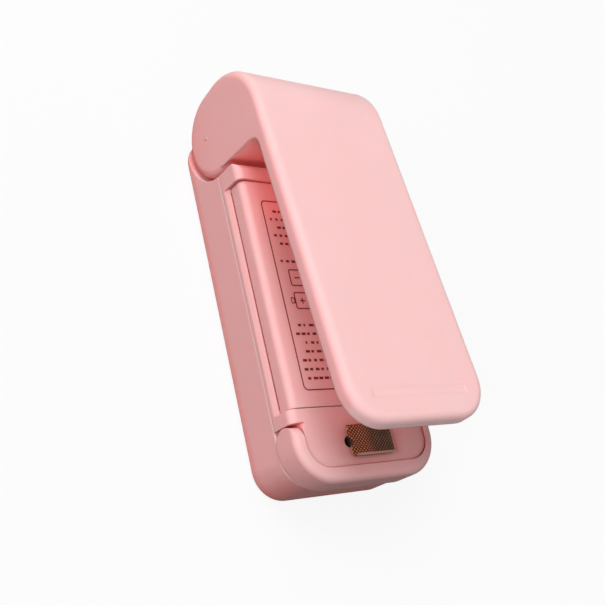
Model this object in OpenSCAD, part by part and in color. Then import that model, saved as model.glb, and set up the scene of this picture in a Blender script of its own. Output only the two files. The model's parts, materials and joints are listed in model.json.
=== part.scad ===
// Hand-held mini bag sealer: a hinged lever presses a bag on to a small heated strip.
// Millimetres. +Z is up, the heater is at -Y and the lever's hinge at +Y.
// The origin lies on the surface it stands on, below the middle of its length and width.

/* [Case] */
// Length of the nose, from the front of the safety cover to the battery cover
nose_l = 17.8; // [17.4:0.1:20]
// Length of the crest bar between the battery cover and the hinge
crest_l = 5; // [4.8:0.1:6]
// Height of the crest bar above the battery cover's top
crest_h = 0.8; // [0.2:0.1:2]
// Height of the seam between the lower and the upper case
seam_z = 13; // [12.5:0.1:13.5]
// Open line along the seam
seam_gap = 0.2; // [0.1:0.05:0.3]
// Wall of the moulded shells
wall = 1.6; // [1.3:0.1:2]
// Corner radius of the case, seen from above
plan_r = 7.5; // [6:0.5:10]
// Rounding of the base's lower edge
base_edge_r = 1.2; // [0.5:0.1:3]
// Rounding of the upper case's shoulders
shoulder_r = 2; // [1:0.1:2.5]
// Rounding of the heater deck's side edges
deck_edge_r = 1.4; // [1.2:0.1:2]
// Rounding of the crest bar's rear edge
crest_r = 2.4; // [1:0.1:3]

/* [Battery bay] */
// Diameter of a cell
cell_d = 14.5; // [14:0.1:15]
// Length of a cell with its button
cell_l = 50.5; // [49:0.1:52]
// Diameter of a cell's button
button_d = 5.5; // [4.5:0.1:6.5]
// Height of a cell's button
button_h = 1.1; // [0.8:0.1:1.6]
// Space between the two cells
cell_gap = 0.6; // [0.4:0.1:1]
// Free room beside the cells, inside the case wall
side_room = 3.85; // [3.6:0.05:5]
// Free room above the cells, under the battery cover
head_room = 2.85; // [2.4:0.05:3.4]
// Sheet thickness of the battery contacts
contact_t = 0.4; // [0.3:0.05:0.6]
// Length of a contact spring under load
spring_l = 5.3; // [4.8:0.1:6]
// Wall at each end of the battery bay
bay_wall = 1.2; // [1:0.1:1.5]

/* [Battery cover] */
// Wall of the battery cover
cover_t = 1.5; // [1.2:0.1:2]
// Lap of the cover over each end of the battery bay
cover_lap = 0.7; // [0.5:0.1:1]
// Set-back of the cover's sides from the case's sides
cover_set = 0.9; // [0.7:0.1:1.2]
// Depth of the cover's sides below its top
cover_skirt = 4.5; // [3.6:0.1:5]
// Rounding of the cover's long edges
cover_edge_r = 1.8; // [1:0.1:2.4]
// Open line between the cover and the case
cover_gap = 0.2; // [0.1:0.05:0.3]

/* [Lever] */
// Set-back of the lever's sides from the case's sides
lever_set = 0.2; // [0:0.05:0.5]
// Depth of the lever's arm
arm_t = 4.1; // [3.6:0.1:5.5]
// Height of the arm's top above the hinge, square to the arm
arm_h = 20.6; // [20.2:0.1:21.4]
// Set-back of the arm's tip from the front of the safety cover
tip_set = 5.1; // [4:0.1:6]
// Corner radius of the arm's tip, seen from above
tip_r = 9.5; // [6:0.5:10]
// Rounding of the lever's upper edges
lever_edge_r = 2; // [1:0.1:2.2]
// Radius of the lever's drum-shaped head
head_r = 11.6; // [11.2:0.1:11.8]
// Radius of the round between the head's back and the arm's top
back_r = 16; // [13:0.1:17]
// Angle at which the head's front leans forward from the arm's square
head_lean = 6; // [0:0.5:7]
// Set-back of the head's front from its drum
throat_set = 0.8; // [0.5:0.1:1.2]
// Wall of the lever's arm
arm_wall = 1.8; // [1.4:0.1:2]
// Wall of the lever's head
head_wall = 2.4; // [2:0.1:2.6]
// Angle at which the spring holds the arm up at rest
rest_angle = 4.96; // [3:0.1:8]
// Radius of the fillet inside the angle of arm and head
throat_r = 3; // [2:0.1:4]
// Thickness of the arm's ribs
rib_t = 1.2; // [0.8:0.1:1.5]
// Length of the finger groove across the arm's top
groove_w = 28; // [20:1:30]
// Breadth of the finger groove
groove_l = 2.5; // [1.5:0.1:4]
// Depth of the finger groove
groove_d = 0.2; // [0.1:0.05:0.4]
// Distance from the arm's tip to the middle of the finger groove
groove_set = 6.7; // [5:0.1:10]

/* [Hinge] */
// Radius of the hinge pin
pin_r = 1.5; // [1.2:0.05:1.8]
// Running clearance of a pin in its bore
pin_fit = 0.05; // [0.02:0.01:0.1]
// Clearance between the lever's head and its saddle
saddle_gap = 0.9; // [0.8:0.1:1.2]
// Floor of the case below the saddle
saddle_floor = 1.6; // [1.4:0.1:2.2]
// Reach of the case's floor behind the hinge
rear_reach = 5.5; // [4.5:0.1:5.8]
// Outer radius of the case's hinge barrel
barrel_r = 7.6; // [7:0.1:7.8]
// Width of the case's hinge barrel
barrel_w = 23; // [20:0.5:24]
// Wire radius of the lever's spring
lever_wire_r = 0.5; // [0.4:0.05:0.6]
// Middle radius of the lever spring's coil
lever_coil_r = 3.6; // [3.2:0.1:4]
// Turns of the lever's spring
lever_coils = 6; // [4:1:6]

/* [Safety cover] */
// Stand-out of the safety cover past the case's sides
visor_proud = 0.4; // [0.2:0.1:0.8]
// Stand-out of the safety cover past the lower case's front
visor_front_proud = 1; // [0.3:0.1:1.2]
// Height of the safety cover's rim above the deck
visor_rim = 0.4; // [0.2:0.1:0.8]
// Distance from the safety cover's front to its hinge
visor_reach = 10.3; // [10:0.1:10.8]
// Thickness of its front at the rim
visor_front_t = 3.6; // [3.2:0.1:3.8]
// Thickness of its sides
visor_side_t = 2.8; // [2.4:0.1:3]
// Corner radius inside its rim
visor_corner_r = 5.9; // [4:0.1:6]
// Rounding of its outer upper edge
visor_edge_r = 1.8; // [1:0.1:2]
// Corner radius of its outside, seen from above
visor_plan_r = 10; // [7:0.5:10]
// Radius of its hinge stubs
stub_r = 1.5; // [1.2:0.05:1.8]
// Length of its hinge stubs
stub_l = 2.2; // [1.8:0.1:2.6]
// Clearance between moving pieces
gap = 0.3; // [0.25:0.05:0.4]

/* [Heater] */
// Distance from the safety cover's front to the middle of the heater
heater_set = 9.1; // [8.8:0.05:9.3]
// Width of the heater across the sealer
heater_w = 12.4; // [11:0.1:13]
// Breadth of the tape-covered strip, front to back
tape_l = 7.3; // [6.4:0.1:7.5]
// Thickness of the coated tape
tape_t = 0.3; // [0.2:0.05:0.4]
// Thickness of the heating ribbon
ribbon_t = 0.15; // [0.1:0.05:0.2]
// Breadth of the heating ribbon
ribbon_l = 2; // [1.5:0.1:2.2]
// Thickness of the heat-proof plate below the ribbon
plate_t = 0.45; // [0.4:0.05:0.6]
// Travel of the heater when it is pressed
heater_travel = 0.6; // [0.4:0.05:0.8]
// Breadth of the carrier's stem
stem_l = 2.2; // [1.8:0.1:2.2]
// Length of the deck's slot
slot_w = 13.8; // [13.4:0.1:15]
// Breadth of the deck's slot
slot_l = 2.6; // [2.6:0.1:3]
// Thickness of the press pad below the arm, at the heater
pad_proud = 1; // [0.8:0.1:1.5]

/* [Switch, leads and screws] */
// Size of the switch body: across, front to back, and up
switch_size = [10, 6, 6.3]; // [5:0.1:11]
// Radius of the switch plunger
plunger_r = 0.8; // [0.6:0.05:1]
// Free height of the plunger above its switch
plunger_h = 1.2; // [1:0.1:1.4]
// Radius of an insulated lead
lead_r = 0.6; // [0.4:0.05:0.7]
// Thread radius of a case screw
screw_r = 1; // [0.9:0.05:1.2]
// Radius of a screw post
post_r = 2.2; // [2:0.1:2.4]
// Radius of a screw's head
screw_head_r = 1.8; // [1.6:0.05:1.9]
// Height of a screw's head
screw_head_h = 1.3; // [1:0.1:1.5]

/* [Hidden] */
$fn = 64;
// Overlap of a cutting tool past a face
over = 1;

// Case, worked out from the cells that it holds
floor_z = wall;
case_w = 2 * cell_d + cell_gap + 2 * (side_room + wall);
half_w = case_w / 2;
cell_rest = 0.05;
deck_z = floor_z + cell_rest + cell_d + head_room + cover_t;
bay_l = cell_l + spring_l + 2 * contact_t;
cover_l = bay_l + 2 * cover_lap;
saddle_r = head_r + saddle_gap;
// Middle of the round at the head's back, from the hinge, with the arm level
back_y = head_r - back_r;
back_z = arm_h - back_r;
// Reach of the head behind the hinge, with the arm at rest
head_reach = back_y * cos(rest_angle) + back_z * sin(rest_angle) + back_r;
overall_l = nose_l + cover_l + crest_l + saddle_r + head_reach;
front_y = -overall_l / 2;
pivot_y = overall_l / 2 - head_reach;
pivot_z = saddle_r + saddle_floor;
lower_front_y = front_y + visor_front_proud;
rear_lip_y = pivot_y + rear_reach;
cover_front_y = front_y + nose_l;
cover_back_y = cover_front_y + cover_l;
crest_back_y = pivot_y - saddle_r;
bay_front_y = cover_front_y + cover_lap;
bay_back_y = bay_front_y + bay_l;
cell_x = (cell_d + cell_gap) / 2;
cell_z = floor_z + cell_rest + cell_d / 2;
inner_half_w = half_w - wall;
cover_half_w = half_w - cover_set;
cover_edge_z = deck_z - cover_skirt;
rail_z = cover_edge_z - cover_gap;

// Safety cover
visor_w = case_w + 2 * visor_proud;
visor_z = seam_z + gap;
visor_top_z = deck_z + visor_rim;
ear_r = (visor_top_z - visor_z) / 2;
ear_y = front_y + visor_reach;
ear_z = visor_z + ear_r;
rim_half_w = visor_w / 2 - visor_side_t;
rim_d = visor_reach - visor_front_t;
nose_half_w = rim_half_w - gap;
nose_back_y = ear_y + ear_r + gap;

// Heater, from the deck up
heater_y = front_y + heater_set;
plate_z = deck_z + heater_travel + 0.1;
ribbon_z = plate_z + plate_t;
tape_z = ribbon_z + ribbon_t;
heater_top_z = tape_z + tape_t;
deck_under_z = deck_z - wall;
foot_top_z = deck_under_z - 0.05;
foot_t = 1.75;
foot_z = foot_top_z - foot_t;
foot_w = 20.8;
foot_l = 5.2;
ribbon_out = heater_w / 2 - 0.2;
ribbon_end_z = foot_z - 2;
notch_w = 1.2;
nib_r = 1.2;
carrier_spring_x = foot_w / 2 - 1.4;
carrier_post_r = 1.4;
carrier_post_z = seam_z + 0.1;
carrier_wire_r = 0.2;
carrier_coil_r = 1;

// Switch, from the carrier's nib down
nib_l = 1.55;
nib_z = foot_z - nib_l;
plunger_top_z = nib_z - heater_travel - 0.05;
switch_top_z = plunger_top_z - plunger_h;
switch_z = switch_top_z - switch_size.z;
terminal_l = 3;
terminal_t = 0.5;
terminal_w = 1.4;
terminal_x = switch_size.x / 4;
shelf_t = 1;

// Lever, in a frame at the hinge with the arm lying along -Y
lever_half_w = half_w - lever_set;
arm_under = arm_h - arm_t;
arm_reach = pivot_y - front_y - tip_set;
cavity_half_w = lever_half_w - head_wall;
cavity_r = head_r - head_wall;
window_half_w = barrel_w / 2 + 0.7;
// Front of the head where it meets the arm
throat_y = head_r - throat_set + arm_under * tan(head_lean);
// Angles between which the head is open around the hinge barrel, from +Y towards +Z
window_back = 20;
window_front = 205;
socket_end = cavity_half_w;
socket_boss_r = pin_r + 1.7;
// Press pad: its face lies flat on the heater when the lever is shut
heater_reach = pivot_y - heater_y;
heater_rise = heater_top_z - pivot_z;
pad_face = arm_under - pad_proud;
pad_dist = sqrt(heater_reach * heater_reach + heater_rise * heater_rise);
shut_angle = asin(pad_face / pad_dist) - atan2(heater_rise, heater_reach);
pad_y = -pad_dist * cos(asin(pad_face / pad_dist));
pad_half_l = 3.8;
pad_front = max(pad_y - pad_half_l, arm_wall - arm_reach) + 0.1;
pad_back = pad_y + pad_half_l;
pad_half_w = 8;
pad_seat = arm_h - arm_wall;

// Screws
screw_front = [post_r + 11.2, cover_front_y - 3.1];
screw_back = [inner_half_w - post_r + 0.5, cover_back_y + 2.3];
screw_spots = [screw_front, screw_back];
screw_head_z = 0.6;
screw_len = seam_z + 4;
screw_boss_top = deck_under_z;

// Shapes that repeat
// Draws a section of (x, z) along Y, from y0 to y1
module along_y(y0, y1) {
  translate([0, y1, 0]) rotate([90, 0, 0]) linear_extrude(y1 - y0) children();
}

// Draws a section of (y, z) along X, from x0 to x1
module along_x(x0, x1) {
  translate([x0, 0, 0]) rotate([90, 0, 90]) linear_extrude(x1 - x0) children();
}

// Turns a section of (radius, x) about the X axis, from angle a0 to a1, from +Y towards +Z
module about_x(a0 = 0, a1 = 360) {
  rotate([90, 0, 90]) rotate([0, 0, a0]) rotate_extrude(angle = a1 - a0) children();
}

// A round bar along X
module bar_x(r, x0, x1) {
  translate([x0, 0, 0]) rotate([0, 90, 0]) cylinder(r = r, h = x1 - x0);
}

// Section of a lid: both upper corners rounded
module lid_section(w, h, r) {
  translate([-w / 2, 0]) square([w, h - r]);
  translate([r - w / 2, 0]) square([w - 2 * r, h]);
  for (side = [-1, 1]) translate([side * (w / 2 - r), h - r]) circle(r);
}

// Section of an edge: the outer upper corner rounded
module edge_section(w, h, r) {
  square([w, h - r]);
  square([w - r, h]);
  translate([w - r, h - r]) circle(r);
}

// Section of a drum's half: both outer corners rounded, as (radius, x)
module drum_section(r, half, edge) {
  translate([0, edge - half]) square([r, 2 * (half - edge)]);
  translate([0, -half]) square([r - edge, 2 * half]);
  for (side = [-1, 1]) translate([r - edge, side * (half - edge)]) circle(edge);
}

// Outline with four round corners, seen from above
module plan_area(y0, y1, w, r) {
  translate([-w / 2, y0 + r]) square([w, y1 - y0 - 2 * r]);
  translate([r - w / 2, y0]) square([w - 2 * r, y1 - y0]);
  for (x = [r - w / 2, w / 2 - r], y = [y0 + r, y1 - r]) translate([x, y]) circle(r);
}

// End of a block at y0, facing -Y: round corners in plan and a rounded upper edge
module soft_end(y0, w, h, corner, edge) {
  inner = w / 2 - corner;
  translate([0, y0 + corner, 0]) along_x(-inner, inner) mirror([1, 0]) edge_section(corner, h, edge);
  for (side = [0, 1]) mirror([side, 0, 0]) translate([inner, y0 + corner, 0])
    rotate([0, 0, -90]) rotate_extrude(angle = 90) edge_section(corner, h, edge);
}

// Block with round corners in plan and a rounded upper edge
module soft_block(y0, y1, w, h, corner, edge) {
  along_y(y0 + corner, y1 - corner) lid_section(w, h, edge);
  soft_end(y0, w, h, corner, edge);
  mirror([0, 1, 0]) soft_end(-y1, w, h, corner, edge);
}

function unit(v) = v / norm(v);
function spline(p, i, t) =
  let (a = p[max(i - 1, 0)], b = p[i], c = p[i + 1], d = p[min(i + 2, len(p) - 1)])
  0.5 * (2 * b + (c - a) * t + (2 * a - 5 * b + 4 * c - d) * t * t + (3 * b - a - 3 * c + d) * t * t * t);
function smoothed(p, steps) = concat(
  [for (i = [0:len(p) - 2], s = [0:steps - 1]) spline(p, i, s / steps)], [p[len(p) - 1]]);

// A wire swept along points, with rings square to it; side is a direction that it never runs along
module wire(points, r, side, sides = 6) {
  n = len(points);
  function heading(i) = unit(points[min(i + 1, n - 1)] - points[max(i - 1, 0)]);
  rings = [for (i = [0:n - 1])
    let (t = heading(i), a = unit(cross(t, side)), b = cross(t, a))
    for (k = [0:sides - 1]) points[i] + r * (cos(360 * k / sides) * a + sin(360 * k / sides) * b)];
  last = (n - 1) * sides;
  walls = [for (i = [0:n - 2], k = [0:sides - 1])
    let (k2 = (k + 1) % sides, a = i * sides + k, b = i * sides + k2)
    each [[a, a + sides, b], [b, a + sides, b + sides]]];
  ends = [for (k = [1:sides - 2]) each [[0, k, k + 1], [last, last + k + 1, last + k]]];
  polyhedron(points = rings, faces = concat(walls, ends), convexity = 6);
}

// Points of a coil about Z that starts at z = 0, with a ring that lies flat at each end
function coil(r0, r1, length, turns, rings = 8) = [for (i = [0:turns * rings])
  let (t = i / (turns * rings), a = 360 * i / rings, r = r0 + (r1 - r0) * t)
  [r * cos(a), r * sin(a), length * t]];

module place_lever() {
  translate([0, pivot_y, pivot_z]) rotate([-rest_angle, 0, 0]) children();
}

module place_visor() {
  translate([0, ear_y, ear_z]) children();
}

// Puts a copy at each of the four screws
module at_screws(spots = screw_spots) {
  for (side = [-1, 1], p = spots) translate([side * p.x, p.y, 0]) children();
}

// Space that the lever's head sweeps
module saddle(r) {
  translate([0, pivot_y, pivot_z]) bar_x(r, -case_w, case_w);
}

module hinge_barrel() {
  half = barrel_w / 2;
  end_t = 2;
  web_front = 6;
  web_back = 3;
  // The web's foot and the foot of its hollow lie inside the floor
  foot = pivot_z - saddle_floor / 2;
  hollow_foot = pivot_z - 0.75 * saddle_floor;
  difference() {
    union() {
      bar_x(barrel_r, -half, half);
      translate([-half, -web_front, -foot]) cube([barrel_w, web_front + web_back, foot]);
    }
    bar_x(barrel_r - wall, end_t - half, half - end_t);
    translate([end_t - half, wall - web_front, -hollow_foot])
      cube([barrel_w - 2 * end_t, web_front + web_back - 2 * wall, hollow_foot]);
    bar_x(pin_r + pin_fit, -half - over, half + over);
    // Slot for the spring's moving leg
    along_x(2.5, end_t + 5.5) polygon([[0, 0], [0, 20], [-20, 20], [-20, 6]]);
  }
}

module lower_case() {
  color("lightpink") {
    difference() {
      translate([0, 0, seam_z]) mirror([0, 0, 1])
        soft_block(lower_front_y, rear_lip_y, case_w, seam_z, plan_r, base_edge_r);
      difference() {
        translate([0, 0, floor_z]) linear_extrude(seam_z)
          plan_area(lower_front_y + wall, rear_lip_y, 2 * inner_half_w, plan_r - wall);
        saddle(saddle_r + wall);
        at_screws() cylinder(r = post_r, h = seam_z);
      }
      saddle(saddle_r);
      at_screws() translate([0, 0, -over]) cylinder(r = screw_r + pin_fit, h = seam_z + 2 * over);
      at_screws() translate([0, 0, -over])
        cylinder(r = screw_head_r + 0.2, h = over + screw_head_z + screw_head_h);
    }
    translate([0, pivot_y, pivot_z]) hinge_barrel();
    // Walls at both ends of the battery bay
    for (y = [bay_front_y - bay_wall, bay_back_y]) translate([-2 * cell_x - 0.6, y, floor_z])
      cube([4 * cell_x + 1.2, bay_wall, cell_z + 2 - floor_z]);
    // Posts under the carrier's springs, and shelves under the switch
    for (side = [-1, 1]) {
      translate([side * carrier_spring_x, heater_y, floor_z])
        cylinder(r = carrier_post_r, h = carrier_post_z - floor_z);
      translate([side * (switch_size.x - shelf_t) / 2 - shelf_t / 2, heater_y - switch_size.y / 2, floor_z])
        cube([shelf_t, switch_size.y, switch_z - floor_z]);
    }
  }
}

// Surface that the safety cover turns round, as radius at a place across the sealer
function rim_at(x) = let (inner = rim_half_w - visor_corner_r, out = max(abs(x) - inner, 0))
  rim_d - visor_corner_r + sqrt(max(visor_corner_r * visor_corner_r - out * out, 0));
function nest_r(x) = sqrt(rim_at(x) * rim_at(x) + ear_r * ear_r);
module nest_section(half, less) {
  steps = 6;
  inner = rim_half_w - visor_corner_r;
  xs = [for (i = [0:steps]) half - (half - inner) * (1 - cos(90 * i / steps))];
  right = [for (x = xs) [nest_r(x) - less, x]];
  left = [for (i = [steps:-1:0]) [nest_r(xs[i]) - less, -xs[i]]];
  polygon(concat([[0, half]], right, left, [[0, -half]]));
}

// Upper case's nose, with its sides cut back for the safety cover's ears
module nose(less, top, half) {
  reach = over * sign(less);
  length = cover_front_y - cover_gap - front_y;
  intersection() {
    union() {
      place_visor() about_x() nest_section(half, gap + less);
      along_y(ear_y, cover_front_y) lid_section(2 * half, top, deck_edge_r);
    }
    translate([-half, front_y, seam_z + seam_gap - reach])
      cube([2 * half, length + reach, top - seam_z - seam_gap + reach]);
  }
}

module upper_case() {
  rail_in = inner_half_w - 1;
  crest_z = deck_z + crest_h;
  color("pink") difference() {
    union() {
      difference() {
        union() {
          nose(0, deck_z, nose_half_w);
          translate([0, 0, seam_z + seam_gap]) along_y(nose_back_y, cover_front_y - cover_gap)
            lid_section(case_w, deck_z - seam_z - seam_gap, shoulder_r);
        }
        nose(wall, deck_under_z, nose_half_w - wall);
      }
      // Rails beside the battery cover
      for (side = [0, 1]) mirror([side, 0, 0]) along_y(cover_front_y - 2, cover_back_y + 2)
        polygon([[rail_in, seam_z + seam_gap], [half_w, seam_z + seam_gap], [half_w, rail_z - 1.5],
          [cover_half_w + 0.3, rail_z], [rail_in, rail_z]]);
      // Crest bar in front of the hinge
      intersection() {
        translate([0, 0, seam_z + seam_gap]) along_y(cover_back_y + cover_gap, crest_back_y + saddle_r)
          lid_section(case_w, crest_z - seam_z - seam_gap, shoulder_r);
        along_x(-half_w, half_w) {
          square([crest_back_y, crest_z - crest_r]);
          square([crest_back_y - crest_r, crest_z]);
          translate([crest_back_y - crest_r, crest_z - crest_r]) circle(crest_r);
        }
      }
      // Posts for the case screws and for the safety cover's stubs
      intersection() {
        at_screws() translate([0, 0, seam_z]) cylinder(r = post_r, h = screw_boss_top + 0.5 - seam_z);
        translate([-half_w, front_y, 0]) cube([case_w, overall_l, deck_z]);
      }
      for (side = [0, 1]) mirror([side, 0, 0]) place_visor()
        bar_x(stub_r + 1.5, nose_half_w - stub_l - 1, nose_half_w);
    }
    // Hollow below the crest bar, between its screw posts
    translate([post_r - screw_back.x + over, cover_back_y + cover_gap + wall, 0])
      cube([2 * (screw_back.x - post_r - over), crest_l - cover_gap - 2 * wall, crest_z - wall]);
    at_screws() cylinder(r = screw_r, h = screw_len + 0.5);
    for (side = [0, 1]) mirror([side, 0, 0]) place_visor()
      bar_x(stub_r + pin_fit, nose_half_w - stub_l, nose_half_w + over);
    // Slot for the heater
    translate([0, heater_y, deck_under_z - over]) linear_extrude(wall + 2 * over) {
      square([slot_w - slot_l, slot_l], center = true);
      for (side = [-1, 1]) translate([side * (slot_w - slot_l) / 2, 0]) circle(slot_l / 2);
    }
    saddle(saddle_r);
  }
}

module battery_cover() {
  h = deck_z - cover_edge_z;
  rib_z = cell_z + cell_d / 2 + 0.4;
  color("lightpink") {
    translate([0, 0, cover_edge_z]) difference() {
      along_y(cover_front_y, cover_back_y) lid_section(2 * cover_half_w, h, cover_edge_r);
      translate([0, 0, -over]) along_y(cover_front_y - over, cover_back_y + over)
        lid_section(2 * (cover_half_w - cover_t), h - cover_t + over, 0.5);
    }
    // Ribs that keep the cells down
    for (y = [cover_front_y + 8, cover_back_y - 8 - rib_t], side = [-1, 1])
      translate([side * cell_x - 3, y, rib_z]) cube([6, rib_t, deck_z - cover_t - rib_z]);
  }
}

module lever_solid() {
  along_y(-(arm_reach - tip_r), back_y) translate([0, arm_under]) lid_section(2 * lever_half_w, arm_t, lever_edge_r);
  translate([0, 0, arm_under]) soft_end(-arm_reach, 2 * lever_half_w, arm_t, tip_r, lever_edge_r);
  about_x() drum_section(head_r, lever_half_w, lever_edge_r);
  linear_extrude(back_z) rotate([0, 0, 90]) mirror([0, 1]) drum_section(head_r, lever_half_w, lever_edge_r);
  translate([0, back_y, back_z]) about_x(0, 90) drum_section(back_r, lever_half_w, lever_edge_r);
  // Front of the head, which leans forward, with a fillet below the arm
  along_x(-lever_half_w, lever_half_w) {
    polygon([[0, 0], [throat_set - head_r, 0], [-throat_y, arm_under], [0, arm_under]]);
    difference() {
      translate([-throat_y - throat_r, arm_under - throat_r]) square([throat_r + 1, throat_r]);
      translate([-throat_y - throat_r, arm_under - throat_r]) circle(throat_r);
    }
  }
}

module lever_hollow() {
  // Room inside the head
  difference() {
    union() {
      bar_x(cavity_r, -cavity_half_w, cavity_half_w);
      translate([-cavity_half_w, -cavity_r, 0]) cube([2 * cavity_half_w, 2 * cavity_r, back_z]);
      translate([0, back_y, back_z]) about_x(0, 90) translate([0, -cavity_half_w])
        square([back_r - head_wall, 2 * cavity_half_w]);
      translate([-cavity_half_w, -cavity_r, back_z])
        cube([2 * cavity_half_w, cavity_r + back_y, arm_h - head_wall - back_z]);
    }
    // Bosses round the pin's ends
    for (side = [0, 1]) mirror([side, 0, 0]) bar_x(socket_boss_r, window_half_w, cavity_half_w + over);
  }
  // Window round the case's hinge barrel
  reach = 2 * head_r;
  along_x(-window_half_w, window_half_w) polygon([[0, 0],
    reach * [cos(window_back), sin(window_back)], [reach, -reach], [-reach, -reach],
    reach * [cos(window_front), sin(window_front)]]);
  bar_x(pin_r, -socket_end, socket_end);
  // Hollow under the arm, between its ribs
  translate([0, 0, arm_under - over]) linear_extrude(pad_seat - arm_under + over) difference() {
    plan_area(arm_wall - arm_reach, -throat_y - throat_r - 1, 2 * (lever_half_w - arm_wall), tip_r - arm_wall);
    for (side = [-1, 1]) translate([side * (pad_half_w + rib_t / 2) - rib_t / 2, -arm_reach])
      square([rib_t, arm_reach]);
    for (y = [pad_back, pad_y + 0.36 * arm_reach, pad_y + 0.64 * arm_reach])
      translate([-lever_half_w, y]) square([2 * lever_half_w, rib_t]);
  }
}

module lever() {
  color("pink") place_lever() difference() {
    lever_solid();
    lever_hollow();
    translate([-groove_w / 2, groove_set - arm_reach - groove_l / 2, arm_h - groove_d])
      cube([groove_w, groove_l, groove_d + over]);
  }
}

module press_pad() {
  slope = tan(shut_angle);
  color("white") place_lever() along_x(-pad_half_w, pad_half_w) polygon([
    [pad_front, pad_seat], [pad_back, pad_seat],
    [pad_back, pad_face - slope * (pad_back - pad_y)],
    [pad_front, pad_face - slope * (pad_front - pad_y)]]);
}

module safety_cover() {
  side_half = visor_side_t / 2;
  color("pink") {
    difference() {
      intersection() {
        translate([0, 0, visor_z])
          soft_block(front_y, front_y + 2 * visor_reach, visor_w, 2 * ear_r, visor_plan_r, visor_edge_r);
        translate([-visor_w, front_y - over, 0]) cube([2 * visor_w, visor_reach + over, 2 * deck_z]);
      }
      place_visor() about_x() nest_section(rim_half_w, 0);
    }
    // Ears with their hinge stubs
    intersection() {
      place_visor() for (side = [0, 1]) mirror([side, 0, 0]) bar_x(ear_r, rim_half_w, visor_w / 2);
      translate([0, 0, visor_z]) along_y(ear_y, ear_y + 2 * ear_r) lid_section(visor_w, 2 * ear_r, visor_edge_r);
    }
    place_visor() for (side = [0, 1]) mirror([side, 0, 0])
      bar_x(stub_r, rim_half_w - stub_l, rim_half_w + side_half);
  }
}

module hinge_pin() {
  color("silver") translate([0, pivot_y, pivot_z]) bar_x(pin_r, 0.2 - socket_end, socket_end - 0.2);
}

module lever_spring() {
  // The moving leg leans forward to the lever's roof, and the fixed leg stands down inside the barrel
  lean = 9.8;
  rings = 8;
  start = 180;
  half_l = 5;
  turn = 360 * lever_coils - lean;
  steps = lever_coils * rings;
  coil_points = [for (i = [0:steps]) let (a = start - turn * i / steps)
    [half_l * (2 * i / steps - 1), lever_coil_r * cos(a), lever_coil_r * sin(a)]];
  first = coil_points[0];
  last = coil_points[steps];
  roof = arm_h - head_wall - lever_wire_r - 0.2;
  leg = (roof - last.z * cos(rest_angle) - last.y * sin(rest_angle)) / cos(lean + rest_angle);
  points = concat([first + [0, 0, -4], first + [0, 0, -2]], coil_points,
    [last + leg / 2 * [0, -sin(lean), cos(lean)], last + leg * [0, -sin(lean), cos(lean)]]);
  color("silver") translate([0, pivot_y, pivot_z]) wire(points, lever_wire_r, [1, 0, 0]);
}

module heater_carrier() {
  color("saddlebrown") translate([0, heater_y, 0]) difference() {
    union() {
      translate([0.6 - ribbon_out, -stem_l / 2, foot_z]) cube([2 * ribbon_out - 1.2, stem_l, plate_z - foot_z]);
      translate([-foot_w / 2, -foot_l / 2, foot_z]) cube([foot_w, foot_l, foot_t]);
      translate([0, 0, nib_z]) cylinder(r = nib_r, h = nib_l);
    }
    for (side = [-1, 1]) translate([side * ribbon_out - notch_w / 2, -slot_l / 2, foot_z - over])
      cube([notch_w, slot_l, foot_t + 2 * over]);
  }
}

module heater_plate() {
  color("tan") translate([-ribbon_out, heater_y - tape_l / 2 + tape_t, plate_z])
    cube([2 * ribbon_out, tape_l - 2 * tape_t, plate_t]);
}

module heating_ribbon() {
  out = ribbon_out + ribbon_t;
  color("silver") translate([0, heater_y, 0]) {
    translate([-out, -ribbon_l / 2, ribbon_z]) cube([2 * out, ribbon_l, ribbon_t]);
    for (side = [0, 1]) mirror([side, 0, 0]) translate([ribbon_out, -ribbon_l / 2, ribbon_end_z])
      cube([ribbon_t, ribbon_l, ribbon_z - ribbon_end_z]);
  }
}

module release_tape() {
  color("peru") translate([-heater_w / 2, heater_y - tape_l / 2, plate_z]) difference() {
    cube([heater_w, tape_l, heater_top_z - plate_z]);
    translate([-over, tape_t, -over]) cube([heater_w + 2 * over, tape_l - 2 * tape_t, tape_z - plate_z + over]);
  }
}

module carrier_springs() {
  length = foot_z - carrier_post_z - 2 * carrier_wire_r;
  color("silver") for (side = [-1, 1])
    translate([side * carrier_spring_x, heater_y, carrier_post_z + carrier_wire_r])
      wire(coil(carrier_coil_r, carrier_coil_r, length, 4), carrier_wire_r, [0, 0, 1]);
}

module switch_body() {
  color("dimgray") translate([0, heater_y, switch_z]) difference() {
    translate([-switch_size.x / 2, -switch_size.y / 2, 0]) cube(switch_size);
    translate([0, 0, switch_size.z - 1.5]) cylinder(r = plunger_r + pin_fit, h = 1.5 + over);
    // Fixing holes through the switch
    for (side = [-1, 1]) translate([side * switch_size.x / 3, over + switch_size.y / 2, 1.6])
      rotate([90, 0, 0]) cylinder(r = 0.8, h = switch_size.y + 2 * over);
  }
}

module switch_plunger() {
  inside = 1;
  color("firebrick") translate([0, heater_y, switch_top_z - inside]) cylinder(r = plunger_r, h = plunger_h + inside);
}

module switch_terminals() {
  color("gold") for (side = [-1, 1])
    translate([side * terminal_x - terminal_w / 2, heater_y - terminal_t / 2, switch_z - terminal_l])
      cube([terminal_w, terminal_t, terminal_l]);
}

// One cell along Y from its flat end at y = 0
module cell() {
  rotate([-90, 0, 0]) rotate_extrude() {
    edge_section(cell_d / 2, cell_l - button_h, 0.6);
    square([button_d / 2, cell_l]);
  }
}

module battery_cells() {
  color("dimgray") {
    translate([-cell_x, bay_front_y + contact_t + cell_l, cell_z]) mirror([0, 1, 0]) cell();
    translate([cell_x, bay_back_y - contact_t - cell_l, cell_z]) cell();
  }
}

// A contact plate that stands on the floor of the bay
module contact_plate(x0, x1, y) {
  translate([x0, y, floor_z]) cube([x1 - x0, contact_t, cell_z + 1.5 - floor_z]);
}

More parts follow.
